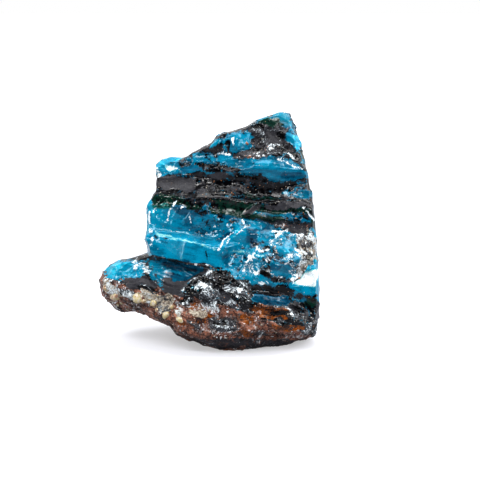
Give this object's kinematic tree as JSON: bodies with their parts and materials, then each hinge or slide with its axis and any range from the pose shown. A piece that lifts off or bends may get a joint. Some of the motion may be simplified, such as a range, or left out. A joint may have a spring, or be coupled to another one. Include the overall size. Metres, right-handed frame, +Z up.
{
  "type": "opal specimen",
  "caption": "Rough opal with turquoise and black beds grown on brown matrix, a side lobe and a broken foot to stand on.",
  "frame": {"origin": "under the middle of the stone's box, on the surface it stands on", "axes": "+Z up, -Y towards the viewer of the banded face, +X to the viewer's right"},
  "size_m": [0.0538, 0.0298, 0.0548],
  "materials": {
    "opal": "glossy, wet-looking opal on rough matrix"
  },
  "bodies": {
    "root": {"opal_stone": "opal"}
  },
  "joints": []
}
